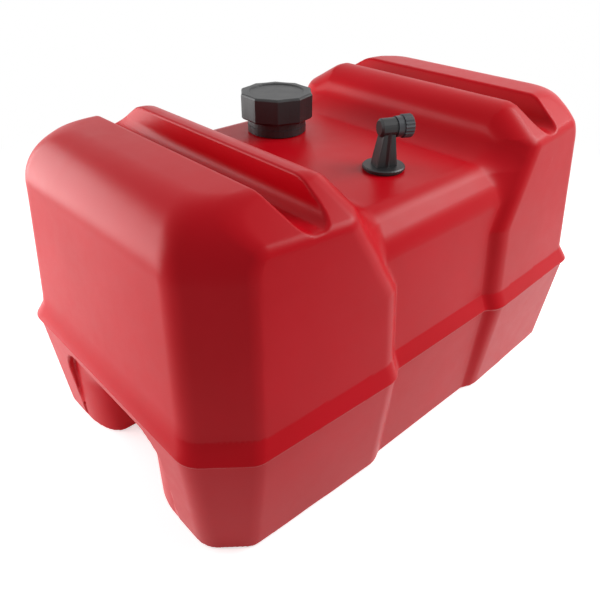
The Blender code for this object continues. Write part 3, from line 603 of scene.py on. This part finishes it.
def make_floor():
    """A pale floor that fades to white away from the tank wherever it is seen."""
    mesh = bpy.data.meshes.new("floor")
    corners = [(i * FLOOR_HALF, j * FLOOR_HALF, 0) for i, j in ((-1, -1), (1, -1), (1, 1), (-1, 1))]
    mesh.from_pydata(corners, [], [(0, 1, 2, 3)])
    floor = bpy.data.objects.new("floor", mesh)
    bpy.context.scene.collection.objects.link(floor)
    floor.location.z = -FLOOR_DROP
    nodes = Nodes("pale_floor")
    dark = (0.86, 0.86, 0.86, 1)
    light = (0.88, 0.88, 0.88, 1)
    tint = nodes.ramp(nodes.noise(1.5), [(NOISE_LOW, dark), (NOISE_HIGH, light)])
    nodes.link(tint, nodes.shader.inputs["Base Color"])
    nodes.shader.inputs["Roughness"].default_value = 0.9
    nodes.shader.inputs["Specular IOR Level"].default_value = 0.0
    seen = seen_rays(nodes.tree)
    near = nodes.add("ShaderNodeEmission")
    lift = nodes.add("ShaderNodeMath", operation="MULTIPLY")
    lift.inputs[1].default_value = FLOOR_LIFT
    nodes.link(seen, lift.inputs[0])
    nodes.link(lift.outputs[0], near.inputs["Strength"])
    lit = nodes.add("ShaderNodeAddShader")
    nodes.link(nodes.shader.outputs["BSDF"], lit.inputs[0])
    nodes.link(near.outputs[0], lit.inputs[1])
    white = nodes.add("ShaderNodeEmission")
    reach = nodes.add("ShaderNodeVectorMath", operation="LENGTH")
    nodes.link(nodes.position(), reach.inputs[0])
    fade = nodes.add("ShaderNodeMapRange", interpolation_type="SMOOTHSTEP")
    fade.inputs["From Min"].default_value = FLOOR_FADE[0]
    fade.inputs["From Max"].default_value = FLOOR_FADE[1]
    nodes.link(reach.outputs["Value"], fade.inputs["Value"])
    share = nodes.add("ShaderNodeMath", operation="MULTIPLY")
    nodes.link(fade.outputs["Result"], share.inputs[0])
    nodes.link(seen, share.inputs[1])
    mix = nodes.add("ShaderNodeMixShader")
    nodes.link(share.outputs[0], mix.inputs[0])
    nodes.link(lit.outputs[0], mix.inputs[1])
    nodes.link(white.outputs[0], mix.inputs[2])
    nodes.link(mix.outputs[0], nodes.tree.nodes["Material Output"].inputs["Surface"])
    mesh.materials.append(nodes.material)


def make_world():
    """White where it is seen, and a weaker fill where it only gives light."""
    world = bpy.data.worlds.new("studio")
    bpy.context.scene.world = world
    world.use_nodes = True
    tree = world.node_tree
    tree.nodes.clear()
    out = tree.nodes.new("ShaderNodeOutputWorld")
    seen = tree.nodes.new("ShaderNodeBackground")
    fill = tree.nodes.new("ShaderNodeBackground")
    seen.inputs["Color"].default_value = (1, 1, 1, 1)
    seen.inputs["Strength"].default_value = 1.0
    fill.inputs["Color"].default_value = (1, 1, 1, 1)
    fill.inputs["Strength"].default_value = WORLD_FILL
    mix = tree.nodes.new("ShaderNodeMixShader")
    tree.links.new(seen_rays(tree), mix.inputs[0])
    tree.links.new(fill.outputs[0], mix.inputs[1])
    tree.links.new(seen.outputs[0], mix.inputs[2])
    tree.links.new(mix.outputs[0], out.inputs["Surface"])


def make_camera():
    """The camera that fits the photo."""
    back = Vector((
        math.sin(CAMERA_AZIMUTH) * math.cos(CAMERA_ELEVATION),
        -math.cos(CAMERA_AZIMUTH) * math.cos(CAMERA_ELEVATION),
        math.sin(CAMERA_ELEVATION),
    ))
    right = Vector((math.cos(CAMERA_AZIMUTH), math.sin(CAMERA_AZIMUTH), 0.0))
    up = back.cross(right)
    across = right * math.cos(CAMERA_ROLL) + up * math.sin(CAMERA_ROLL)
    upward = up * math.cos(CAMERA_ROLL) - right * math.sin(CAMERA_ROLL)
    data = bpy.data.cameras.new("camera")
    data.sensor_width = SENSOR_WIDTH
    data.lens = SENSOR_WIDTH * FOCAL_PIXELS / PICTURE_PIXELS
    data.clip_start = 0.01
    camera = bpy.data.objects.new("camera", data)
    bpy.context.scene.collection.objects.link(camera)
    turn = Matrix((across, upward, back)).transposed().to_4x4()
    camera.matrix_world = Matrix.Translation(CAMERA_PLACE) @ turn
    bpy.context.scene.camera = camera


make_floor()
make_world()
make_camera()
soft_box("key", (0.84, -0.63, 1.01), (0.0, 0.0, 0.15), (0.9, 0.6), 13.0)
soft_box("end_fill", (-0.81, 0.78, 0.40), (-0.15, 0.0, 0.15), (1.0, 0.8), 12.0)

bpy.context.scene.view_settings.view_transform = "Standard"
